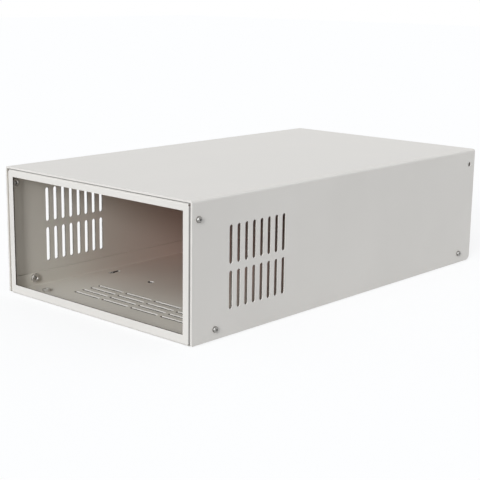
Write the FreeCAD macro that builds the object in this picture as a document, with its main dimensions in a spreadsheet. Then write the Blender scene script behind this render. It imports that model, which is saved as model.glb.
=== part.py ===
"""Sheet metal chassis: a folded base with a front window frame, and a folded, vented cover.

Millimetres. The origin is the bottom centre of the box: the window faces -Y, +Z is up.
Every driving size is a cell of the spreadsheet "size". The expressions below work out places from
those cells, and each sketch, feature and placement is bound to them.
"""
import FreeCAD
import Part
import math
import os
import Sketcher

Vector = FreeCAD.Vector

SIZES = [
    ("overall_width", 201.0, "across the outside of the cover"),
    ("overall_depth", 356.0, "front face to rear face"),
    ("overall_height", 100.5, "floor underside to cover top"),
    ("chassis_gauge", 1.0, "sheet of the base chassis"),
    ("cover_gauge", 1.5, "sheet of the cover"),
    ("cover_gap", 0.3, "between chassis and cover, at the sides and the top"),
    ("cover_lift", 0.7, "lower edges of the cover above the floor underside"),
    ("chassis_bend", 1.0, "inner bend radius of the chassis"),
    ("cover_bend", 0.5, "inner bend radius of the cover"),
    ("cover_rear_corner", 4.5, "radius of the cover's lower rear corners"),
    ("cover_front_corner", 1.2, "radius of the cover's lower front corners"),
    ("window_side_border", 6.7, "from the chassis's sides to the window"),
    ("window_base_border", 7.4, "from the floor's underside up to the window"),
    ("window_top_border", 5.7, "from the window up to the chassis's top"),
    ("flange_depth", 12.0, "reach of the flanges folded back from front and rear"),
    ("floor_flange_height", 12.0, "height of the flanges folded up from the floor"),
    ("flange_gap", 0.5, "between a floor flange and the flange in line with it"),
    ("corner_tab_depth", 4.0, "reach of the low end of a side flange, below its notch"),
    ("vent_width", 3.6, "slot in the cover's side"),
    ("vent_length", 27.5, "slot in the cover's side"),
    ("vent_pitch", 8.0, "from slot to slot"),
    ("vent_row_gap", 4.9, "between the lower and the upper row"),
    ("vent_base", 19.4, "lower ends of the lower row above the underside"),
    ("vent_inset", 38.4, "middle of the first slot behind the front"),
    ("vent_columns", 8, "slots in a row"),
    ("vent_rows", 2, "rows in a side"),
    ("floor_slot_width", 3.2, "slot in the floor"),
    ("floor_slot_length", 28.7, "slot in the floor"),
    ("floor_slot_spread", 32.3, "slot to slot across the floor"),
    ("floor_slot_pitch", 8.15, "row to row"),
    ("floor_slot_inset", 35.2, "middle of the first row behind the front"),
    ("floor_slot_columns", 4, "slots across the floor"),
    ("floor_slot_rows", 4, "rows of slots"),
    ("keyhole_head", 5.4, "wide end of the keyhole"),
    ("keyhole_neck", 3.2, "narrow end of the keyhole"),
    ("keyhole_travel", 7.5, "from the middle of the wide end to that of the narrow end"),
    ("keyhole_side_inset", 11.2, "keyhole from the chassis's left side"),
    ("keyhole_inset", 95.5, "middle of the wide end behind the front"),
    ("cable_hole", 5.5, "round hole in the floor"),
    ("cable_hole_side", 41.6, "round hole left of the middle"),
    ("cable_hole_inset", 97.0, "round hole behind the front"),
    ("thread", 3.0, "nominal thread of screws and nuts"),
    ("thread_play", 0.1, "screw thread under nut thread, on the diameter"),
    ("cover_screw_hole", 4.0, "clearance hole in the cover"),
    ("nut_flange", 7.0, "outside of a clinch nut"),
    ("nut_height", 2.0, "clinch nut above the sheet"),
    ("nut_pilot", 4.2, "part of a clinch nut that is pressed into the sheet"),
    ("nut_pilot_play", 0.04, "sheet hole over the pilot, on the diameter"),
    ("nut_pilot_setback", 0.05, "pilot short of the far face of the sheet"),
    ("head_diameter", 4.6, "small pan head"),
    ("head_height", 2.1, "small pan head"),
    ("head_chamfer", 0.7, "slope round the pan head's edge"),
    ("screw_length", 5.0, "under the head"),
    ("recess_span", 2.4, "cross recess, end to end"),
    ("recess_arm", 0.6, "cross recess, width of an arm"),
    ("recess_depth", 1.0, "cross recess"),
    ("front_top_inset", 6.1, "upper front screw behind the front"),
    ("front_top_drop", 13.1, "upper front screw below the cover's top"),
    ("front_low_inset", 22.6, "lower front screw behind the front"),
    ("front_low_height", 8.2, "lower front screw above the underside"),
    ("rear_top_inset", 8.0, "upper rear screw before the rear"),
    ("rear_top_drop", 12.9, "upper rear screw below the cover's top"),
    ("rear_low_inset", 19.2, "lower rear screw before the rear"),
    ("rear_low_height", 9.0, "lower rear screw above the underside"),
    ("floor_nut_side_inset", 19.5, "floor nuts from the chassis's sides"),
    ("floor_nut_inset", 20.0, "floor nuts from the front and from the rear"),
]

# Places that several pieces share, as expressions on the sheet's cells.
HALF_WIDTH = "size.overall_width / 2"
FRONT = "-size.overall_depth / 2"
REAR = "size.overall_depth / 2"
TOP = "size.overall_height"
BEND_OUTER = "(size.chassis_bend + size.chassis_gauge)"
COVER_BEND_OUTER = "(size.cover_bend + size.cover_gauge)"
CHASSIS_HALF = "(size.overall_width / 2 - size.cover_gauge - size.cover_gap)"
CHASSIS_TOP = "(size.overall_height - size.cover_gauge - size.cover_gap)"
FLAT_HALF = f"({CHASSIS_HALF} - {BEND_OUTER})"
NOTCH_TOP = "(size.floor_flange_height + size.flange_gap)"

# The four screws of one side: name, place along Y, height.
SCREW_PLACES = [
    ("front_upper", f"{FRONT} + size.front_top_inset", f"{TOP} - size.front_top_drop"),
    ("front_lower", f"{FRONT} + size.front_low_inset", "size.front_low_height"),
    ("rear_upper", f"{REAR} - size.rear_top_inset", f"{TOP} - size.rear_top_drop"),
    ("rear_lower", f"{REAR} - size.rear_low_inset", "size.rear_low_height"),
]
MISSING_SCREWS = ["right_rear_upper"]

# The floor nuts: name, place along X, place along Y.
FLOOR_NUT_SIDE = f"({CHASSIS_HALF} - size.floor_nut_side_inset)"
FLOOR_NUT_PLACES = [
    ("left_front", f"-{FLOOR_NUT_SIDE}", f"{FRONT} + size.floor_nut_inset"),
    ("right_front", FLOOR_NUT_SIDE, f"{FRONT} + size.floor_nut_inset"),
    ("left_rear", f"-{FLOOR_NUT_SIDE}", f"{REAR} - size.floor_nut_inset"),
    ("right_rear", FLOOR_NUT_SIDE, f"{REAR} - size.floor_nut_inset"),
]


# ---------------------------------------------------------------- document helpers


def make_sheet(doc):
    """Fill the spreadsheet: one row for each size, with its alias and what it is."""
    sheet = doc.addObject("Spreadsheet::Sheet", "size")
    for row, (name, number, meaning) in enumerate(SIZES, start=1):
        sheet.set(f"A{row}", name)
        sheet.set(f"B{row}", str(number))
        sheet.setAlias(f"B{row}", name)
        sheet.set(f"C{row}", meaning)
    doc.recompute()


def make_body(doc, name):
    body = doc.addObject("PartDesign::Body", name)
    body.Label = name
    return body


def origin_feature(body, role):
    """One of the body's own planes or axes, such as XY_Plane."""
    return next(item for item in body.Origin.OriginFeatures if item.Role == role)


def make_sketch(body, name, plane, offset=None):
    """A sketch on one of the body's planes, moved along its normal by an expression."""
    sketch = body.newObject("Sketcher::SketchObject", name)
    sketch.AttachmentSupport = [(origin_feature(body, plane), "")]
    sketch.MapMode = "FlatFace"
    if offset is not None:
        sketch.setExpression("AttachmentOffset.Base.z", offset)
    body.Document.recompute()
    return sketch


def extrude(body, kind, name, sketch, length, symmetric=False):
    """A Pad or a Pocket whose length is an expression."""
    feature = body.newObject(f"PartDesign::{kind}", name)
    feature.Profile = sketch
    feature.SideType = "Symmetric" if symmetric else "One side"
    feature.setExpression("Length", length)
    body.Document.recompute()
    return feature


def pattern(body, name, original, axes, pitches, counts):
    """Repeat a feature in rows and columns along two axes of the body."""
    feature = body.newObject("PartDesign::LinearPattern", name)
    feature.Originals = [original]
    for suffix, axis, pitch, count in zip(("", "2"), axes, pitches, counts):
        setattr(feature, f"Direction{suffix}", (origin_feature(body, axis), [""]))
        setattr(feature, f"Mode{suffix}", "Extent")
        feature.setExpression(f"Length{suffix}", f"({pitch}) * ({count} - 1)")
        feature.setExpression(f"Occurrences{suffix}", count)
    body.Tip = feature
    body.Document.recompute()
    return feature


def edges_where(feature, test):
    """Names of the feature's edges whose middle point passes the test."""
    names = []
    for number, edge in enumerate(feature.Shape.Edges, start=1):
        middle = edge.valueAt((edge.FirstParameter + edge.LastParameter) / 2)
        if test(edge, middle):
            names.append(f"Edge{number}")
    return names


def dress(body, kind, name, base, edge_names, property_name, size):
    """A Fillet or a Chamfer on named edges, with its size as an expression."""
    feature = body.newObject(f"PartDesign::{kind}", name)
    feature.Base = (base, edge_names)
    feature.setExpression(property_name, size)
    body.Document.recompute()
    return feature


# ---------------------------------------------------------------- sketch helpers


def bind(sketch, kind, references, expression):
    """Add a dimension and tie it to an expression."""
    index = sketch.addConstraint(Sketcher.Constraint(kind, *references, sketch.evalExpression(expression)))
    name = f"{kind.lower()}_{index}"
    sketch.renameConstraint(index, name)
    sketch.setExpression(f"Constraints.{name}", expression)


def outline(sketch, sides):
    """Draw a closed outline of upright and level sides.

    A side is (axis, place, corner): axis "x" is an upright line at x = place and axis "y" a level line
    at y = place. corner is the radius that joins the side to the next one, or None for a sharp corner.
    """
    count = len(sides)
    places = [sketch.evalExpression(place) for _, place, _ in sides]
    radii = [0.0 if corner is None else sketch.evalExpression(corner) for _, _, corner in sides]
    corners = []
    for this in range(count):
        following = (this + 1) % count
        if sides[this][0] == "x":
            corners.append(Vector(places[this], places[following], 0))
        else:
            corners.append(Vector(places[following], places[this], 0))
    runs = [(corners[this] - corners[this - 1]).normalize() for this in range(count)]

    lines = []
    for this, (axis, place, _) in enumerate(sides):
        begin = corners[this - 1] + runs[this] * radii[this - 1]
        end = corners[this] - runs[this] * radii[this]
        line = sketch.addGeometry(Part.LineSegment(begin, end))
        sketch.addConstraint(Sketcher.Constraint("Vertical" if axis == "x" else "Horizontal", line))
        bind(sketch, "DistanceX" if axis == "x" else "DistanceY", (-1, 1, line, 1), place)
        lines.append(line)

    for this, (_, _, corner) in enumerate(sides):
        following = (this + 1) % count
        if corner is None:
            sketch.addConstraint(Sketcher.Constraint("Coincident", lines[this], 2, lines[following], 1))
            continue
        radius = radii[this]
        centre = corners[this] - runs[this] * radius + runs[following] * radius
        leaving = corners[this] - runs[this] * radius - centre
        arriving = corners[this] + runs[following] * radius - centre
        turns_left = runs[this].cross(runs[following]).z > 0
        first, last = (leaving, arriving) if turns_left else (arriving, leaving)
        angles = [math.atan2(spoke.y, spoke.x) for spoke in (first, last)]
        circle = Part.Circle(centre, Vector(0, 0, 1), radius)
        arc = sketch.addGeometry(Part.ArcOfCircle(circle, *angles))
        arc_start, arc_end = (1, 2) if turns_left else (2, 1)
        sketch.addConstraint(Sketcher.Constraint("Tangent", lines[this], 2, arc, arc_start))
        sketch.addConstraint(Sketcher.Constraint("Tangent", lines[following], 1, arc, arc_end))
        bind(sketch, "Radius", (arc,), corner)


def disc(sketch, place_x, place_y, diameter):
    """Draw a circle."""
    centre = Vector(sketch.evalExpression(place_x), sketch.evalExpression(place_y), 0)
    radius = sketch.evalExpression(diameter) / 2
    circle = sketch.addGeometry(Part.Circle(centre, Vector(0, 0, 1), radius))
    bind(sketch, "DistanceX", (-1, 1, circle, 3), place_x)
    bind(sketch, "DistanceY", (-1, 1, circle, 3), place_y)
    bind(sketch, "Diameter", (circle,), diameter)


def slot(sketch, place_x, place_y, length, width, upright):
    """Draw a slot with round ends, centred on a place."""
    half_run = f"(({length}) - ({width})) / 2"
    x, y = sketch.evalExpression(place_x), sketch.evalExpression(place_y)
    run, radius = sketch.evalExpression(half_run), sketch.evalExpression(width) / 2
    along = Vector(0, 1, 0) if upright else Vector(1, 0, 0)
    across = Vector(0, 0, 1).cross(along) * radius
    low, high = Vector(x, y, 0) - along * run, Vector(x, y, 0) + along * run
    turn = math.atan2(along.y, along.x)
    normal = Vector(0, 0, 1)
    quarter = math.pi / 2
    high_end = Part.ArcOfCircle(Part.Circle(high, normal, radius), turn - quarter, turn + quarter)
    low_end = Part.ArcOfCircle(Part.Circle(low, normal, radius), turn + quarter, turn + 3 * quarter)
    far, near = sketch.addGeometry(high_end), sketch.addGeometry(low_end)
    left = sketch.addGeometry(Part.LineSegment(high + across, low + across))
    right = sketch.addGeometry(Part.LineSegment(low - across, high - across))
    for one, one_end, other, other_end in ((far, 2, left, 1), (left, 2, near, 1), (near, 2, right, 1),
                                           (right, 2, far, 1)):
        sketch.addConstraint(Sketcher.Constraint("Tangent", one, one_end, other, other_end))
    sketch.addConstraint(Sketcher.Constraint("Equal", far, near))
    bind(sketch, "Radius", (far,), f"({width}) / 2")
    for arc, sign in ((far, "+"), (near, "-")):
        bind(sketch, "DistanceX", (-1, 1, arc, 3), place_x if upright else f"{place_x} {sign} {half_run}")
        bind(sketch, "DistanceY", (-1, 1, arc, 3), f"{place_y} {sign} {half_run}" if upright else place_y)


# ---------------------------------------------------------------- base chassis


def corner_strip(sketch, side, end):
    """One upright corner of the chassis in plan: a wall's edge folded round into its side flange."""
    wall = f"{end} * size.overall_depth / 2"
    outer = f"{side} * {CHASSIS_HALF}"
    outline(sketch, [
        ("y", wall, BEND_OUTER),
        ("x", outer, None),
        ("y", f"{wall} - {end} * size.flange_depth", None),
        ("x", f"{outer} - {side} * size.chassis_gauge", "size.chassis_bend"),
        ("y", f"{wall} - {end} * size.chassis_gauge", None),
        ("x", f"{side} * ({FLAT_HALF} - size.chassis_gauge)", None),
    ])


def floor_strip(sketch, side):
    """One long edge of the floor in section: folded up into its flange."""
    outer = f"{side} * {CHASSIS_HALF}"
    outline(sketch, [
        ("y", "0", BEND_OUTER),
        ("x", outer, None),
        ("y", "size.floor_flange_height", None),
        ("x", f"{outer} - {side} * size.chassis_gauge", "size.chassis_bend"),
        ("y", "size.chassis_gauge", None),
        ("x", f"{side} * ({FLAT_HALF} - size.chassis_gauge)", None),
    ])


def fold_chassis(body):
    """Floor, front, rear and every flange of the base, with the notches between the flanges."""
    tray = make_sketch(body, "tray_section", "YZ_Plane")
    outline(tray, [
        ("y", CHASSIS_TOP, BEND_OUTER),
        ("x", FRONT, BEND_OUTER),
        ("y", "0", BEND_OUTER),
        ("x", REAR, BEND_OUTER),
        ("y", CHASSIS_TOP, None),
        ("x", f"{REAR} - size.flange_depth", None),
        ("y", f"{CHASSIS_TOP} - size.chassis_gauge", "size.chassis_bend"),
        ("x", f"{REAR} - size.chassis_gauge", "size.chassis_bend"),
        ("y", "size.chassis_gauge", "size.chassis_bend"),
        ("x", f"{FRONT} + size.chassis_gauge", "size.chassis_bend"),
        ("y", f"{CHASSIS_TOP} - size.chassis_gauge", None),
        ("x", f"{FRONT} + size.flange_depth", None),
    ])
    extrude(body, "Pad", "tray", tray, f"2 * {FLAT_HALF}", symmetric=True)

    corners = make_sketch(body, "corner_plan", "XY_Plane", BEND_OUTER)
    for side in (-1, 1):
        for end in (-1, 1):
            corner_strip(corners, side, end)
    extrude(body, "Pad", "side_flanges", corners, f"{CHASSIS_TOP} - 2 * {BEND_OUTER}")

    notches = make_sketch(body, "notch_outline", "YZ_Plane")
    for end in (-1, 1):
        wall = f"{end} * size.overall_depth / 2"
        outline(notches, [
            ("x", f"{wall} - {end} * size.corner_tab_depth", None),
            ("y", "size.chassis_gauge + size.chassis_bend / 2", None),
            ("x", f"{wall} - {end} * (size.flange_depth + size.flange_gap)", None),
            ("y", NOTCH_TOP, None),
        ])
    extrude(body, "Pocket", "flange_notches", notches, "size.overall_width", symmetric=True)

    edges = make_sketch(body, "floor_edge_section", "XZ_Plane")
    for side in (-1, 1):
        floor_strip(edges, side)
    extrude(body, "Pad", "floor_flanges", edges,
            "size.overall_depth - 2 * (size.corner_tab_depth + size.flange_gap)", symmetric=True)


def pierce_chassis(body):
    """The window, the floor's slots and holes, and the holes of the clinch nuts."""
    window = make_sketch(body, "window_outline", "XZ_Plane", REAR)
    outline(window, [
        ("x", f"size.window_side_border - {CHASSIS_HALF}", None),
        ("y", "size.window_base_border", None),
        ("x", f"{CHASSIS_HALF} - size.window_side_border", None),
        ("y", f"{CHASSIS_TOP} - size.window_top_border", None),
    ])
    extrude(body, "Pocket", "window", window, BEND_OUTER)

    first_slot = make_sketch(body, "floor_slot_outline", "XY_Plane", BEND_OUTER)
    leftmost = "-size.floor_slot_spread * (size.floor_slot_columns - 1) / 2"
    slot(first_slot, leftmost, f"{FRONT} + size.floor_slot_inset",
         "size.floor_slot_length", "size.floor_slot_width", upright=False)
    cut = extrude(body, "Pocket", "floor_slot", first_slot, BEND_OUTER)
    pattern(body, "floor_slots", cut, ("X_Axis", "Y_Axis"),
            ("size.floor_slot_spread", "size.floor_slot_pitch"),
            ("size.floor_slot_columns", "size.floor_slot_rows"))

    keyhole_x = f"size.keyhole_side_inset - {CHASSIS_HALF}"
    holes = make_sketch(body, "floor_hole_outline", "XY_Plane", BEND_OUTER)
    disc(holes, keyhole_x, f"{FRONT} + size.keyhole_inset", "size.keyhole_head")
    disc(holes, "-size.cable_hole_side", f"{FRONT} + size.cable_hole_inset", "size.cable_hole")
    for _, place_x, place_y in FLOOR_NUT_PLACES:
        disc(holes, place_x, place_y, "size.nut_pilot + size.nut_pilot_play")
    extrude(body, "Pocket", "floor_holes", holes, BEND_OUTER)

    neck = make_sketch(body, "keyhole_neck_outline", "XY_Plane", BEND_OUTER)
    slot(neck, keyhole_x, f"{FRONT} + size.keyhole_inset + size.keyhole_travel / 2",
         "size.keyhole_travel + size.keyhole_neck", "size.keyhole_neck", upright=True)
    extrude(body, "Pocket", "keyhole_neck", neck, BEND_OUTER)

    nut_holes = make_sketch(body, "side_nut_outline", "YZ_Plane")
    for _, place_y, height in SCREW_PLACES:
        disc(nut_holes, place_y, height, "size.nut_pilot + size.nut_pilot_play")
    extrude(body, "Pocket", "side_nut_holes", nut_holes, "size.overall_width", symmetric=True)


def make_chassis(doc):
    body = make_body(doc, "base_chassis")
    fold_chassis(body)
    pierce_chassis(body)


# ---------------------------------------------------------------- cover


def make_cover(doc):
    """Top and sides in one folded sheet, open at the front, the rear and below."""
    body = make_body(doc, "cover")
    section = make_sketch(body, "cover_section", "XZ_Plane")
    outline(section, [
        ("x", f"-{HALF_WIDTH}", COVER_BEND_OUTER),
        ("y", TOP, COVER_BEND_OUTER),
        ("x", HALF_WIDTH, None),
        ("y", "size.cover_lift", None),
        ("x", f"{HALF_WIDTH} - size.cover_gauge", "size.cover_bend"),
        ("y", f"{TOP} - size.cover_gauge", "size.cover_bend"),
        ("x", f"-{HALF_WIDTH} + size.cover_gauge", None),
        ("y", "size.cover_lift", None),
    ])
    shell = extrude(body, "Pad", "folded_sheet", section, "size.overall_depth", symmetric=True)

    def low_corner(end):
        place_y = body.evalExpression(end)
        lift = body.evalExpression("size.cover_lift")
        return lambda edge, middle: (abs(middle.y - place_y) < 1e-6 and abs(middle.z - lift) < 1e-6
                                     and len(edge.Vertexes) == 2)

    rear = dress(body, "Fillet", "rear_corners", shell, edges_where(shell, low_corner(REAR)),
                 "Radius", "size.cover_rear_corner")
    dress(body, "Fillet", "front_corners", rear, edges_where(rear, low_corner(FRONT)),
          "Radius", "size.cover_front_corner")

    first_vent = make_sketch(body, "vent_outline", "YZ_Plane")
    slot(first_vent, f"{FRONT} + size.vent_inset", "size.vent_base + size.vent_length / 2",
         "size.vent_length", "size.vent_width", upright=True)
    cut = extrude(body, "Pocket", "vent", first_vent, "2 * size.overall_width", symmetric=True)
    pattern(body, "vents", cut, ("Y_Axis", "Z_Axis"),
            ("size.vent_pitch", "size.vent_length + size.vent_row_gap"),
            ("size.vent_columns", "size.vent_rows"))

    screw_holes = make_sketch(body, "screw_hole_outline", "YZ_Plane")
    for _, place_y, height in SCREW_PLACES:
        disc(screw_holes, place_y, height, "size.cover_screw_hole")
    extrude(body, "Pocket", "screw_holes", screw_holes, "2 * size.overall_width", symmetric=True)


# ---------------------------------------------------------------- fasteners


def revolve(body, name, sketch):
    feature = body.newObject("PartDesign::Revolution", name)
    feature.Profile = sketch
    feature.ReferenceAxis = (sketch, ["V_Axis"])
    feature.Angle = 360
    body.Document.recompute()
    return feature


def place(body, direction, place_x, place_y, place_z):
    """Turn the body's own +Z to a direction and bind its place to expressions."""
    body.Placement = FreeCAD.Placement(Vector(0, 0, 0), FreeCAD.Rotation(Vector(0, 0, 1), direction))
    for letter, expression in (("x", place_x), ("y", place_y), ("z", place_z)):
        body.setExpression(f"Placement.Base.{letter}", expression)


def ring_edge(radius, height):
    """A test for the round edge at a radius and a height of a turned piece."""
    return lambda edge, middle: (abs(math.hypot(middle.x, middle.y) - radius) < 1e-6
                                 and abs(middle.z - height) < 1e-6)


def make_nut(doc, name, direction, place_x, place_y, place_z):
    """A clinch nut: its flange stands on the sheet at z = 0 and its pilot is pressed into the sheet."""
    body = make_body(doc, name)
    section = make_sketch(body, f"{name}_section", "XZ_Plane")
    outline(section, [
        ("x", "size.thread / 2", None),
        ("y", "-(size.chassis_gauge - size.nut_pilot_setback)", None),
        ("x", "size.nut_pilot / 2", None),
        ("y", "0", None),
        ("x", "size.nut_flange / 2", None),
        ("y", "size.nut_height", None),
    ])
    revolve(body, f"{name}_turned", section)
    place(body, direction, place_x, place_y, place_z)


def make_screw(doc, name, direction, place_x, place_y, place_z):
    """A pan head machine screw: its head stands on the sheet at z = 0 and its shank runs down."""
    body = make_body(doc, name)
    shank_diameter = "(size.thread - size.thread_play)"
    section = make_sketch(body, f"{name}_section", "XZ_Plane")
    outline(section, [
        ("x", "0", None),
        ("y", "-size.screw_length", None),
        ("x", f"{shank_diameter} / 2", None),
        ("y", "0", None),
        ("x", "size.head_diameter / 2", None),
        ("y", "size.head_height", None),
    ])
    turned = revolve(body, f"{name}_turned", section)
    rim = ring_edge(body.evalExpression("size.head_diameter / 2"), body.evalExpression("size.head_height"))
    dress(body, "Chamfer", f"{name}_rim", turned, edges_where(turned, rim), "Size", "size.head_chamfer")

    recess = make_sketch(body, f"{name}_recess_outline", "XY_Plane", "size.head_height")
    reach, arm = "size.recess_span / 2", "size.recess_arm / 2"
    outline(recess, [
        ("x", reach, None), ("y", arm, None), ("x", arm, None),
        ("y", reach, None), ("x", f"-{arm}", None), ("y", arm, None),
        ("x", f"-{reach}", None), ("y", f"-{arm}", None), ("x", f"-{arm}", None),
        ("y", f"-{reach}", None), ("x", arm, None), ("y", f"-{arm}", None),
    ])
    extrude(body, "Pocket", f"{name}_recess", recess, "size.recess_depth")
    place(body, direction, place_x, place_y, place_z)


def make_fasteners(doc):
    """Cover screws in both sides, the clinch nuts that they run into, and the floor nuts."""
    for side_name, side in (("left", -1), ("right", 1)):
        outward, inward = Vector(side, 0, 0), Vector(-side, 0, 0)
        flange_inside = f"{side} * ({CHASSIS_HALF} - size.chassis_gauge)"
        cover_outside = f"{side} * {HALF_WIDTH}"
        for place_name, place_y, height in SCREW_PLACES:
            name = f"{side_name}_{place_name}"
            make_nut(doc, f"clinch_nut_{name}", inward, flange_inside, place_y, height)
            if name not in MISSING_SCREWS:
                make_screw(doc, f"cover_screw_{name}", outward, cover_outside, place_y, height)
    for name, place_x, place_y in FLOOR_NUT_PLACES:
        make_nut(doc, f"floor_nut_{name}", Vector(0, 0, 1), place_x, place_y, "size.chassis_gauge")


# ---------------------------------------------------------------- checks and files


def check(doc):
    """Stop on any object that failed, and on any body that isn't one valid solid."""
    for item in doc.Objects:
        if "Invalid" in item.State or "Error" in item.State:
            raise RuntimeError(f"{item.Label} failed: {item.State}")
    bodies = [item for item in doc.Objects if item.TypeId == "PartDesign::Body"]
    for body in bodies:
        shape = body.Shape
        if shape.isNull() or not shape.isValid() or len(shape.Solids) != 1:
            raise RuntimeError(f"{body.Label} is not one valid solid")
    return bodies


def main():
    doc = FreeCAD.newDocument("sheet_metal_chassis")
    make_sheet(doc)
    make_chassis(doc)
    make_cover(doc)
    make_fasteners(doc)
    doc.recompute()
    bodies = check(doc)
    os.makedirs("parts", exist_ok=True)
    for body in bodies:
        body.Shape.exportStep(f"parts/{body.Label}.step")
        print(f"{body.Label}: {body.Shape.Volume:.1f} mm3")


main()
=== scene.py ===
import bmesh
import bpy
import math
from mathutils import Matrix, Quaternion, Vector


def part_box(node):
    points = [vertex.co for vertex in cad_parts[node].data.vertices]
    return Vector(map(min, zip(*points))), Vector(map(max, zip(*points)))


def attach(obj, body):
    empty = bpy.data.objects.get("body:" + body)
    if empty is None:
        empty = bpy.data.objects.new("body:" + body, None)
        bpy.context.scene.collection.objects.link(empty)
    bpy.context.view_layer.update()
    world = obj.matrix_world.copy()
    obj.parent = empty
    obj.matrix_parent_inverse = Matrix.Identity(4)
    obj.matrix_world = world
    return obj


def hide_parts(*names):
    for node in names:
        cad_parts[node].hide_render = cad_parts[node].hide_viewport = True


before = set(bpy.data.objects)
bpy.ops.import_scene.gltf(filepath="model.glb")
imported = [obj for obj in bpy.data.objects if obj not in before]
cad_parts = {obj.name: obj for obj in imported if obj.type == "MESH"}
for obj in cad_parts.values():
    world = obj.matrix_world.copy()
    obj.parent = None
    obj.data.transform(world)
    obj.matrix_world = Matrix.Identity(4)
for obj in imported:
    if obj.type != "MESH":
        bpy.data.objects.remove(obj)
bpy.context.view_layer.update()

MM = 0.001

# ---------------------------------------------------------------- camera

CAMERA_PLACE = Vector((0.605730, -0.693230, 0.237835))
CAMERA_FORWARD = Vector((-0.651842, 0.725642, -0.220331)).normalized()
CAMERA_ROLL = math.radians(0.798)
CAMERA_LENS = 84.307
CAMERA_FILM = 36.0


def stand_camera():
    """A long lens a little above the box, level with its right front corner."""
    data = bpy.data.cameras.new("studio_camera")
    data.lens = CAMERA_LENS
    data.sensor_width = CAMERA_FILM
    data.clip_start = 0.01
    camera = bpy.data.objects.new("studio_camera", data)
    camera.location = CAMERA_PLACE
    camera.rotation_mode = "QUATERNION"
    camera.rotation_quaternion = CAMERA_FORWARD.to_track_quat("-Z", "Y") @ Quaternion(
        (0, 0, 1), CAMERA_ROLL
    )
    bpy.context.scene.collection.objects.link(camera)
    bpy.context.scene.camera = camera


# ---------------------------------------------------------------- materials


def linear(hex_colour):
    """An sRGB hex colour as the linear colour that a socket takes."""
    parts = [int(hex_colour[i : i + 2], 16) / 255 for i in (1, 3, 5)]
    return [c / 12.92 if c <= 0.04045 else ((c + 0.055) / 1.055) ** 2.4 for c in parts] + [1.0]


def add_node(tree, kind, settings=None, links=None):
    """Add one node: its settings by property or socket name, and its inputs' links."""
    node = tree.nodes.new(kind)
    for name, value in (settings or {}).items():
        if isinstance(name, int) or name in node.inputs:
            node.inputs[name].default_value = value
        else:
            setattr(node, name, value)
    for name, source in (links or {}).items():
        tree.links.new(source, node.inputs[name])
    return node


def new_material(name):
    material = bpy.data.materials.new(name)
    material.use_nodes = True
    material.node_tree.nodes.clear()
    return material, material.node_tree


def per_mm(size):
    """Noise scale whose grain is that many millimetres, on coordinates in metres."""
    return 1.0 / (size * MM)


# Where the inside coat's painted shade towards the rear begins and where it is full, in millimetres
# along the box.
REAR_SHADE_STARTS = -125
REAR_SHADE_FULL = 5


def painted_shade_towards_the_rear(tree, place, coat, rear_shade):
    """A painted shade: the coat turns darker and redder towards the deep end of the box, where less
    light reaches.
    """
    along = add_node(tree, "ShaderNodeSeparateXYZ", None, {"Vector": place}).outputs["Y"]
    share = add_node(
        tree,
        "ShaderNodeMapRange",
        {
            "From Min": REAR_SHADE_STARTS * MM,
            "From Max": REAR_SHADE_FULL * MM,
            "To Min": 0.0,
            "To Max": 1.0,
        },
        {"Value": along},
    )
    rear_shaded = add_node(tree, "ShaderNodeMix", {"data_type": "RGBA"})
    rear_shaded.inputs[7].default_value = linear(rear_shade)
    tree.links.new(share.outputs["Result"], rear_shaded.inputs[0])
    tree.links.new(coat, rear_shaded.inputs[6])
    return rear_shaded.outputs[2]


def make_powder_coat(name, dark, light, rear_shade=None):
    """Polyester powder coat, sprayed and baked: satin, with a fine orange peel about 1.2 mm from
    crest to crest, drawn a little coarse, and a coat whose shade and gloss drift over a hand's
    width. Given a third colour, it turns to that colour towards the rear: a painted shade."""
    material, tree = new_material(name)
    place = add_node(tree, "ShaderNodeTexCoord").outputs["Object"]
    drift = add_node(
        tree,
        "ShaderNodeTexNoise",
        {"Scale": per_mm(60), "Detail": 2.0, "Roughness": 0.5},
        {"Vector": place},
    )
    shade = add_node(tree, "ShaderNodeValToRGB", None, {"Fac": drift.outputs["Fac"]})
    shade.color_ramp.elements[0].position = 0.3
    shade.color_ramp.elements[0].color = linear(dark)
    shade.color_ramp.elements[1].position = 0.7
    shade.color_ramp.elements[1].color = linear(light)
    colour = shade.outputs["Color"]
    # A third colour gives the coat a painted shade towards the rear.
    if rear_shade is not None:
        colour = painted_shade_towards_the_rear(tree, place, colour, rear_shade)
    peel = add_node(
        tree,
        "ShaderNodeTexNoise",
        {"Scale": per_mm(1.2), "Detail": 3.0, "Roughness": 0.55},
        {"Vector": place},
    )
    gloss = add_node(
        tree,
        "ShaderNodeMapRange",
        {"From Min": 0.3, "From Max": 0.7, "To Min": 0.42, "To Max": 0.52},
        {"Value": drift.outputs["Fac"]},
    )
    bump = add_node(
        tree,
        "ShaderNodeBump",
        {"Strength": 0.25, "Distance": 0.02 * MM},
        {"Height": peel.outputs["Fac"]},
    )
    coat = add_node(
        tree,
        "ShaderNodeBsdfPrincipled",
        {"IOR": 1.5, "Specular IOR Level": 0.4},
        {
            "Base Color": colour,
            "Roughness": gloss.outputs["Result"],
            "Normal": bump.outputs["Normal"],
        },
    )
    add_node(tree, "ShaderNodeOutputMaterial", None, {"Surface": coat.outputs["BSDF"]})
    return material


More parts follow.
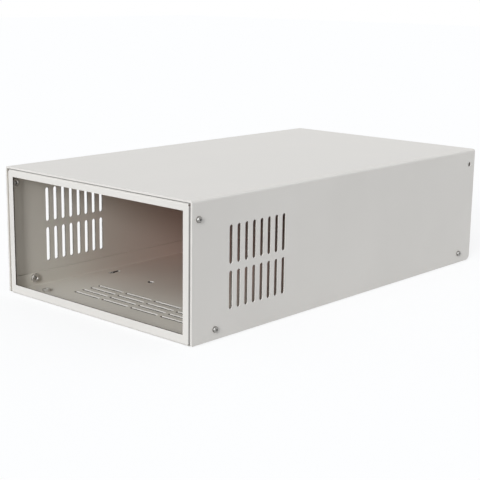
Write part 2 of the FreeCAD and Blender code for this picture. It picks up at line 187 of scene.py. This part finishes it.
def make_zinc(name, light, dark, smooth, rough, grain):
    """Electroplated zinc on steel: bare metal, greyer in patches, with the plating's fine grain."""
    material, tree = new_material(name)
    place = add_node(tree, "ShaderNodeTexCoord").outputs["Object"]
    patches = add_node(
        tree,
        "ShaderNodeTexNoise",
        {"Scale": per_mm(grain), "Detail": 4.0, "Roughness": 0.6},
        {"Vector": place},
    )
    shade = add_node(tree, "ShaderNodeValToRGB", None, {"Fac": patches.outputs["Fac"]})
    shade.color_ramp.elements[0].position = 0.35
    shade.color_ramp.elements[0].color = linear(dark)
    shade.color_ramp.elements[1].position = 0.65
    shade.color_ramp.elements[1].color = linear(light)
    gloss = add_node(
        tree,
        "ShaderNodeMapRange",
        {"From Min": 0.3, "From Max": 0.7, "To Min": rough, "To Max": smooth},
        {"Value": patches.outputs["Fac"]},
    )
    bump = add_node(
        tree,
        "ShaderNodeBump",
        {"Strength": 0.3, "Distance": 0.01 * MM},
        {"Height": patches.outputs["Fac"]},
    )
    metal = add_node(
        tree,
        "ShaderNodeBsdfPrincipled",
        {"Metallic": 1.0},
        {
            "Base Color": shade.outputs["Color"],
            "Roughness": gloss.outputs["Result"],
            "Normal": bump.outputs["Normal"],
        },
    )
    add_node(tree, "ShaderNodeOutputMaterial", None, {"Surface": metal.outputs["BSDF"]})
    return material


# ---------------------------------------------------------------- pieces


def finish_piece(shape, name, materials, node):
    """Make the mesh an object at the origin that rides on the root and stands for its CAD node."""
    mesh = bpy.data.meshes.new(name)
    shape.to_mesh(mesh)
    shape.free()
    for material in materials:
        mesh.materials.append(material)
    mesh.shade_smooth()
    mesh.set_sharp_from_angle(angle=math.radians(40))
    piece = bpy.data.objects.new(name, mesh)
    bpy.context.scene.collection.objects.link(piece)
    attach(piece, "root")
    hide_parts(node)
    return piece


# The coat, the inside coat and two painted shades of a folded sheet, in the order of its material
# slots.
OUTSIDE, INSIDE_SHADED, SHADED_CUT_EDGE, SHADED_LAP = range(4)

# A face looks along an axis when its normal has this much of it.
FACING = 0.7

# Where the coats and painted shades of the cover end, in millimetres.
COVER_WALL = 99.05
COVER_UNDERSIDE_REACH = 99.1
COVER_ENDS = 176.9
COVER_OPENINGS_LOW, COVER_OPENINGS_HIGH = 1.5, 98
# The inner part of the slots' cut edges, up to here, takes a painted shade; the outer part keeps
# the coat.
EDGE_SHADE_REACH = 99.8
# From here to its ends the cover's inside takes a painted shade in the lap, except on the left
# wall.
LAP_SHADE_START = 164.7
LEFT_WALL = -98

# Where the coats and painted shades of the chassis end, in millimetres.
RIGHT_BEND, TOP_BEND = 97.2, 98.3
RIGHT_BEND_FACING, TOP_BEND_FACING = 0.3, 0.6
FRONT_WALL = -176.95
WINDOW_REACH, WINDOW_LOW, WINDOW_HIGH = 92.4, 7, 93.4
FLOOR_WALL = 0.95
FLOOR_OPENINGS = 90
# Cut edges of the floor's openings that look this far right, and not forward, take a painted shade.
SHADED_RIGHTWARD, SHADED_FORWARD = 0.2, -0.6
HEART_OF_BOX = Vector((0, 0, 50))


def skin_of_cover(centre, normal):
    """Which coat or painted shade a face of the cover takes, by its middle in millimetres and its
    normal.
    """
    in_wall = COVER_WALL < abs(centre.x) < EDGE_SHADE_REACH and abs(normal.x) < FACING
    in_opening = COVER_OPENINGS_LOW < centre.z < COVER_OPENINGS_HIGH
    # Painted shade on the inner part of the slots' cut edges.
    if in_wall and in_opening and abs(centre.y) < COVER_ENDS:
        return SHADED_CUT_EDGE
    inward = abs(normal.x) > FACING and normal.x * centre.x < 0
    under_top = normal.z < -FACING and abs(centre.x) < COVER_UNDERSIDE_REACH
    if not (inward or under_top):
        return OUTSIDE
    # A painted shade inside the cover where it laps the chassis, except on the left wall.
    return SHADED_LAP if abs(centre.y) > LAP_SHADE_START and centre.x > LEFT_WALL else INSIDE_SHADED


def skin_of_chassis(centre, normal):
    """Which coat or painted shade a face of the chassis takes, by its middle in millimetres and its
    normal.
    """
    # A painted shade on the chassis where the cover laps it, on the right and on top.
    under_right_lap = centre.x > RIGHT_BEND and normal.x > RIGHT_BEND_FACING
    under_top_lap = centre.z > TOP_BEND and normal.z > TOP_BEND_FACING
    if under_right_lap or under_top_lap:
        return SHADED_LAP
    if centre.y < FRONT_WALL and abs(normal.y) < FACING:
        in_window = abs(centre.x) < WINDOW_REACH and WINDOW_LOW < centre.z < WINDOW_HIGH
        # The window's cut edges take a painted shade.
        return SHADED_CUT_EDGE if in_window else OUTSIDE
    if centre.z < FLOOR_WALL and abs(normal.z) < FACING:
        # Painted shade: the cut edges of the floor's openings that look to the right take the dark
        # coat.
        shaded_edge = normal.x > SHADED_RIGHTWARD and normal.y > SHADED_FORWARD
        return SHADED_CUT_EDGE if shaded_edge and abs(centre.x) < FLOOR_OPENINGS else OUTSIDE
    return INSIDE_SHADED if normal.dot(HEART_OF_BOX - centre) > 0 else OUTSIDE


def part_skins(shape):
    """Score the cover where its coat meets its painted shades: in the slots' cut edges, and where
    the painted shade of the lap begins.
    """
    for axis, place in ((0, EDGE_SHADE_REACH), (0, -EDGE_SHADE_REACH), (1, LAP_SHADE_START), (1, -LAP_SHADE_START)):
        middle, normal = Vector((0, 0, 0)), Vector((0, 0, 0))
        middle[axis], normal[axis] = place * MM, 1.0
        bmesh.ops.bisect_plane(
            shape,
            geom=shape.verts[:] + shape.edges[:] + shape.faces[:],
            plane_co=middle,
            plane_no=normal,
        )


EDGE_ROUND = 0.16
SHARP = math.radians(35)
SAME_PLACE = 0.002
SAME_PLANE = math.radians(0.6)


def coated_sheet(node, skin_of, coats):
    """A folded sheet whose cut edges are rounded by the coat that flows over them."""
    shape = bmesh.new()
    shape.from_mesh(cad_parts[node].data)
    bmesh.ops.remove_doubles(shape, verts=shape.verts, dist=SAME_PLACE * MM)
    bmesh.ops.dissolve_limit(
        shape, angle_limit=SAME_PLANE, verts=shape.verts, edges=shape.edges
    )
    if node == "cover":
        part_skins(shape)
    edges = [e for e in shape.edges if e.is_manifold and e.calc_face_angle() > SHARP]
    bmesh.ops.bevel(
        shape,
        geom=edges,
        offset=EDGE_ROUND * MM,
        segments=2,
        profile=0.5,
        affect="EDGES",
        clamp_overlap=True,
        material=-1,
    )
    shape.normal_update()
    for face in shape.faces:
        face.material_index = skin_of(face.calc_center_median() / MM, face.normal)
    piece = finish_piece(shape, "coated_" + node, coats, node)
    even = piece.modifiers.new("even_shading", "WEIGHTED_NORMAL")
    even.keep_sharp = True
    return piece


def turned(profile, steps, closed=False):
    """Spin a profile of (radius, height) points in millimetres round the upright axis."""
    shape = bmesh.new()
    points = [shape.verts.new((r * MM, 0, z * MM)) for r, z in profile]
    ends = points[1:] + points[:1] if closed else points[1:]
    edges = [shape.edges.new(pair) for pair in zip(points, ends)]
    bmesh.ops.spin(
        shape,
        geom=points + edges,
        cent=(0, 0, 0),
        axis=(0, 0, 1),
        angle=2 * math.pi,
        steps=steps,
        use_merge=True,
    )
    bmesh.ops.remove_doubles(shape, verts=shape.verts, dist=0.001 * MM)
    bmesh.ops.recalc_face_normals(shape, faces=shape.faces)
    return shape


def mesh_of(shape, name):
    """The finished bmesh as a mesh."""
    mesh = bpy.data.meshes.new(name)
    shape.to_mesh(mesh)
    shape.free()
    return mesh


# An M3 pan head screw, in millimetres: radius and height along the head's outline.
HEAD_HEIGHT = 2.1
HEAD_OUTLINE = [
    (0.0, 2.1),
    (0.9, 2.08),
    (1.4, 1.98),
    (1.85, 1.74),
    (2.14, 1.38),
    (2.28, 0.95),
    (2.3, 0.12),
    (2.22, 0.0),
    (1.3, 0.0),
    (0.0, 0.0),
]
RECESS_ARM = 0.6
RECESS_REACH = 1.2
RECESS_DEPTH = 1.1
RECESS_TAPER = (0.42, 0.7, 1.0)

# The M3 thread: its pitch, and the shank's radii at the thread's root and crest.
THREAD_PITCH = 0.5
THREAD_ROOT = 1.18
THREAD_CREST = 1.45
THREAD_TOOTH = [(THREAD_ROOT, 0.4), (THREAD_CREST, 0.2), (THREAD_CREST, 0.12), (THREAD_ROOT, -0.1)]
SHANK_LENGTH = 5.0
SHANK_TIP = 0.7
SHANK_IN_HEAD = 0.5
STEPS_A_TURN = 24
STEPS_ROUND = 40

# An M3 clinch nut, in millimetres.
NUT_HEIGHT = 2.0
NUT_RADIUS = 3.5
NUT_PILOT = 2.08
NUT_PILOT_DEPTH = 0.95
NUT_MOUTH = 1.78
NUT_MOUTH_DEPTH = 0.26
NUT_THREAD_ROOT = 1.5
NUT_THREAD_CREST = 1.26


def recess_arms():
    """The punch of the cross recess: two crossed arms that taper towards their bottom."""
    punch = bmesh.new()
    for turn in (0, math.pi / 2):
        arm = bmesh.ops.create_cube(punch, size=1.0)["verts"]
        bmesh.ops.scale(
            punch,
            vec=(2 * RECESS_REACH * MM, RECESS_ARM * MM, 2 * RECESS_DEPTH * MM),
            verts=arm,
        )
        low = [v for v in arm if v.co.z < 0]
        bmesh.ops.scale(punch, vec=RECESS_TAPER, verts=low)
        bmesh.ops.rotate(punch, matrix=Matrix.Rotation(turn, 3, "Z"), verts=arm)
        bmesh.ops.translate(punch, vec=(0, 0, HEAD_HEIGHT * MM), verts=arm)
    return punch


def cut(mesh, punch):
    """The mesh with the punch taken out of it."""
    body = bpy.data.objects.new("blank", mesh)
    tool = bpy.data.objects.new("punch", punch)
    for o in (body, tool):
        bpy.context.scene.collection.objects.link(o)
    taken = body.modifiers.new("recess", "BOOLEAN")
    taken.operation = "DIFFERENCE"
    taken.solver = "EXACT"
    taken.use_self = True
    taken.object = tool
    graph = bpy.context.evaluated_depsgraph_get()
    result = bpy.data.meshes.new_from_object(body.evaluated_get(graph))
    for o in (body, tool):
        bpy.data.objects.remove(o)
    return result


def threaded_shank(length):
    """One turn's tooth swept down a helix, closed above inside the head and below by a cone."""
    turns = (length - SHANK_TIP) / THREAD_PITCH
    shape = bmesh.new()
    points = [shape.verts.new((r * MM, 0, z * MM)) for r, z in THREAD_TOOTH]
    edges = [shape.edges.new(pair) for pair in zip(points, points[1:])]
    steps = int(turns * STEPS_A_TURN)
    bmesh.ops.spin(
        shape,
        geom=points + edges,
        cent=(0, 0, 0),
        axis=(0, 0, 1),
        dvec=(0, 0, -THREAD_PITCH * MM / STEPS_A_TURN),
        angle=2 * math.pi * steps / STEPS_A_TURN,
        steps=steps,
        use_merge=False,
    )
    bmesh.ops.remove_doubles(shape, verts=shape.verts, dist=0.004 * MM)
    rims = [e for e in shape.edges if e.is_boundary]
    caps = bmesh.ops.holes_fill(shape, edges=rims, sides=0)["faces"]
    for tip in bmesh.ops.poke(shape, faces=caps)["verts"]:
        tip.co = (0, 0, (-length if tip.co.z < -1 * MM else SHANK_IN_HEAD) * MM)
    bmesh.ops.recalc_face_normals(shape, faces=shape.faces)
    return shape


def pan_head_screw():
    """An M3 pan head with its cross recess and threaded shank, upright, seated at zero."""
    blank = mesh_of(turned(HEAD_OUTLINE, STEPS_ROUND), "head_blank")
    head = cut(blank, mesh_of(recess_arms(), "punch"))
    screw = bmesh.new()
    screw.from_mesh(head)
    screw.from_mesh(mesh_of(threaded_shank(SHANK_LENGTH), "shank"))
    return mesh_of(screw, "pan_head_screw")


def clinch_nut():
    """A round clinch nut: a chamfered collar over the sheet, a pilot in it and a threaded bore."""
    outline = [(NUT_PILOT, -NUT_PILOT_DEPTH), (NUT_PILOT, -0.02)]
    outline += [(NUT_RADIUS - 0.07, 0.0), (NUT_RADIUS, 0.12)]
    outline += [(NUT_RADIUS, NUT_HEIGHT - 0.25), (NUT_RADIUS - 0.25, NUT_HEIGHT)]
    outline += [(NUT_MOUTH, NUT_HEIGHT), (NUT_THREAD_ROOT, NUT_HEIGHT - NUT_MOUTH_DEPTH)]
    z = NUT_HEIGHT - NUT_MOUTH_DEPTH
    while z - THREAD_PITCH > 0.1 - NUT_PILOT_DEPTH:
        outline += [(NUT_THREAD_CREST, z - 0.22), (NUT_THREAD_CREST, z - 0.28)]
        outline += [(NUT_THREAD_ROOT, z - THREAD_PITCH)]
        z -= THREAD_PITCH
    outline += [(NUT_THREAD_ROOT, -NUT_PILOT_DEPTH)]
    return mesh_of(turned(outline, STEPS_ROUND, closed=True), "clinch_nut")


def seat_part(part, node, outward, seat, material, turn=0.0):
    """Set an upright part on the seat of its CAD node, with its axis along outward."""
    shape = bmesh.new()
    shape.from_mesh(part)
    bmesh.ops.rotate(shape, matrix=Matrix.Rotation(turn, 3, "Z"), verts=shape.verts)
    stand = Vector((0, 0, 1)).rotation_difference(outward).to_matrix()
    bmesh.ops.rotate(shape, matrix=stand, verts=shape.verts)
    bmesh.ops.translate(shape, vec=seat, verts=shape.verts)
    return finish_piece(shape, "zinc_" + node, [material], node)


def turn_of_cross(node):
    """Each screw stops at its own turn of the cross."""
    place_in_name = enumerate(node, start=3)
    return math.radians(sum(ord(letter) * place for place, letter in place_in_name) % 90)


def place_fasteners(screw_zinc, nut_zinc):
    """A screw in each cover hole that has one, and the nuts in the side flanges and the floor."""
    screw = pan_head_screw()
    nut = clinch_nut()
    for node in sorted(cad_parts):
        low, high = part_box(node)
        seat = (low + high) / 2
        side = 1.0 if seat.x > 0 else -1.0
        outward = Vector((side, 0, 0))
        if node.startswith("cover_screw"):
            seat.x = (high.x if side > 0 else low.x) - side * HEAD_HEIGHT * MM
            turn = turn_of_cross(node)
            seat_part(screw, node, outward, seat, screw_zinc, turn)
        elif node.startswith("clinch_nut"):
            seat.x = (low.x if side > 0 else high.x) + side * NUT_HEIGHT * MM
            seat_part(nut, node, -outward, seat, nut_zinc)
        elif node.startswith("floor_nut"):
            seat.z = high.z - NUT_HEIGHT * MM
            seat_part(nut, node, Vector((0, 0, 1)), seat, nut_zinc)


# ---------------------------------------------------------------- studio


FLOOR_REACH = 6.0
FLOOR_GLOW = 0.78
# The dark card under the box, a painted shadow: its half width and half depth, and its height, in
# millimetres.
SHADE_CARD_REACH = (94, 174)
SHADE_CARD_HEIGHT = 0.05


def seen_rays(tree):
    """One for the rays that see the studio: straight, in a gloss or through glass."""
    rays = add_node(tree, "ShaderNodeLightPath")
    seen = add_node(
        tree,
        "ShaderNodeMath",
        {"operation": "MAXIMUM"},
        {0: rays.outputs["Is Camera Ray"], 1: rays.outputs["Is Glossy Ray"]},
    )
    seen_too = add_node(
        tree,
        "ShaderNodeMath",
        {"operation": "MAXIMUM"},
        {0: seen.outputs[0], 1: rays.outputs["Is Transmission Ray"]},
    )
    return seen_too.outputs[0]


def lay_sheet(name, half_width, half_depth, height, material):
    """A level sheet of the studio, in metres."""
    shape = bmesh.new()
    bmesh.ops.create_grid(shape, x_segments=1, y_segments=1, size=1.0)
    bmesh.ops.scale(shape, vec=(half_width, half_depth, 1.0), verts=shape.verts)
    bmesh.ops.translate(shape, vec=(0, 0, height), verts=shape.verts)
    sheet = bpy.data.objects.new(name, mesh_of(shape, name))
    sheet.data.materials.append(material)
    bpy.context.scene.collection.objects.link(sheet)


def lay_floor():
    """A wide white table. Seen directly it is nearly white, and keeps a faint shadow."""
    material, tree = new_material("matt_white_table")
    seen = seen_rays(tree)
    share = add_node(tree, "ShaderNodeMath", {"operation": "MULTIPLY", 1: FLOOR_GLOW}, {0: seen})
    tone = add_node(tree, "ShaderNodeValToRGB", None, {"Fac": seen})
    tone.color_ramp.elements[0].color = linear("#C6C7C8")
    tone.color_ramp.elements[1].color = linear("#FFFFFF")
    paper = add_node(tree, "ShaderNodeBsdfDiffuse", None, {"Color": tone.outputs["Color"]})
    glow = add_node(tree, "ShaderNodeEmission", {"Color": linear("#FFFFFF"), "Strength": 1.0})
    mixed = add_node(
        tree,
        "ShaderNodeMixShader",
        None,
        {0: share.outputs[0], 1: paper.outputs[0], 2: glow.outputs[0]},
    )
    add_node(tree, "ShaderNodeOutputMaterial", None, {"Surface": mixed.outputs[0]})
    lay_sheet("studio_floor", FLOOR_REACH, FLOOR_REACH, 0.0, material)


def lay_shade_card():
    """A dark card under the box, a painted shadow for the table in the box's shade, which shows
    through the openings of its floor.
    """
    material, tree = new_material("painted_shade_card")
    paper = add_node(tree, "ShaderNodeBsdfDiffuse", {"Color": linear("#3A3937")})
    add_node(tree, "ShaderNodeOutputMaterial", None, {"Surface": paper.outputs[0]})
    half_width, half_depth = SHADE_CARD_REACH
    lay_sheet("studio_shade_card", half_width * MM, half_depth * MM, SHADE_CARD_HEIGHT * MM, material)


# The white surround's level, how much of it is lost where the studio is open to the room, between
# which cosines that gap's edge runs, and which way the gap lies.
AMBIENT = 0.70
DIP = 0.97
DIP_START, DIP_END = 0.78, 0.86
DIP_TOWARDS = (22, 2)

# The two lamps: where each hangs, as degrees right of the front and above the table, its level,
# and its width in degrees.
KEY_FROM = (22, 18)
KEY = 0.52
KEY_WIDTH = 14
BANK_FROM = (14, 38)
BANK = 0.28
BANK_WIDTH = 45
LAMP_DISTANCE = 1.5


def towards(azimuth, elevation):
    """The direction so many degrees right of the front and so many above the table."""
    turn, rise = math.radians(azimuth), math.radians(elevation)
    level = math.cos(rise)
    return Vector((math.sin(turn) * level, -math.cos(turn) * level, math.sin(rise)))


def hang_lamp(name, place, level, width, colour):
    """A distant lamp: level is what it gives a white sheet that faces it."""
    lamp = bpy.data.lights.new(name, "SUN")
    lamp.energy = level * math.pi
    lamp.angle = math.radians(width)
    lamp.color = linear(colour)[:3]
    hung = bpy.data.objects.new(name, lamp)
    hung.rotation_mode = "QUATERNION"
    hung.rotation_quaternion = (-towards(*place)).to_track_quat("-Z", "Y")
    hung.location = towards(*place) * LAMP_DISTANCE
    bpy.context.scene.collection.objects.link(hung)


def light_studio():
    """A white surround, a low lamp from the front right and a soft bank above it."""
    world = bpy.data.worlds.new("studio")
    world.use_nodes = True
    tree = world.node_tree
    tree.nodes.clear()
    place = add_node(tree, "ShaderNodeTexCoord").outputs["Generated"]
    facing = add_node(
        tree,
        "ShaderNodeVectorMath",
        {"operation": "DOT_PRODUCT", 1: towards(*DIP_TOWARDS)},
        {0: place},
    )
    level = add_node(
        tree,
        "ShaderNodeMapRange",
        {
            "interpolation_type": "SMOOTHSTEP",
            "From Min": DIP_START,
            "From Max": DIP_END,
            "To Min": AMBIENT,
            "To Max": AMBIENT * (1 - DIP),
        },
        {"Value": facing.outputs["Value"]},
    )
    around = add_node(
        tree,
        "ShaderNodeBackground",
        {"Color": linear("#F6FAFF")},
        {"Strength": level.outputs["Result"]},
    )
    white = add_node(
        tree, "ShaderNodeBackground", {"Color": linear("#FFFFFF"), "Strength": 1.0}
    )
    mixed = add_node(
        tree,
        "ShaderNodeMixShader",
        None,
        {0: seen_rays(tree), 1: around.outputs[0], 2: white.outputs[0]},
    )
    add_node(tree, "ShaderNodeOutputWorld", None, {"Surface": mixed.outputs[0]})
    bpy.context.scene.world = world

    hang_lamp("key_lamp", KEY_FROM, KEY, KEY_WIDTH, "#FAFCFF")
    hang_lamp("front_bank", BANK_FROM, BANK, BANK_WIDTH, "#F4FAFF")


# ---------------------------------------------------------------- making

stand_camera()
# The sheets' coats: a satin warm grey outside; inside, a slightly darker and warmer copy of it, a
# painted shade that turns darker and redder towards the rear; a nearly black painted shade on cut
# edges, and a mid grey painted shade where the cover laps the chassis.
coats = [
    make_powder_coat("polyester_powder_coat", "#D9D4CD", "#DDD8D1"),
    make_powder_coat("inside_coat_with_painted_shade", "#D2CCC1", "#D6D0C5", "#CBB3A6"),
    make_powder_coat("painted_shade_on_cut_edges", "#4A433D", "#4E4741"),
    make_powder_coat("painted_shade_in_the_lap", "#85817D", "#8A8682"),
]
# Two copies of one zinc: the screws' smoother and painted darker, a painted shade, and the nuts'
# duller and painted paler, a painted light on them inside the dim box.
screw_zinc_painted_darker = make_zinc("zinc_plate_painted_darker", "#A5A4A1", "#858380", 0.3, 0.42, 0.8)
nut_zinc_painted_paler = make_zinc("zinc_plate_painted_paler", "#D8D6D2", "#C4C1BC", 0.4, 0.55, 0.8)
coated_sheet("base_chassis", skin_of_chassis, coats)
coated_sheet("cover", skin_of_cover, coats)
place_fasteners(screw_zinc_painted_darker, nut_zinc_painted_paler)
lay_floor()
lay_shade_card()
light_studio()

bpy.context.scene.view_settings.view_transform = "Standard"
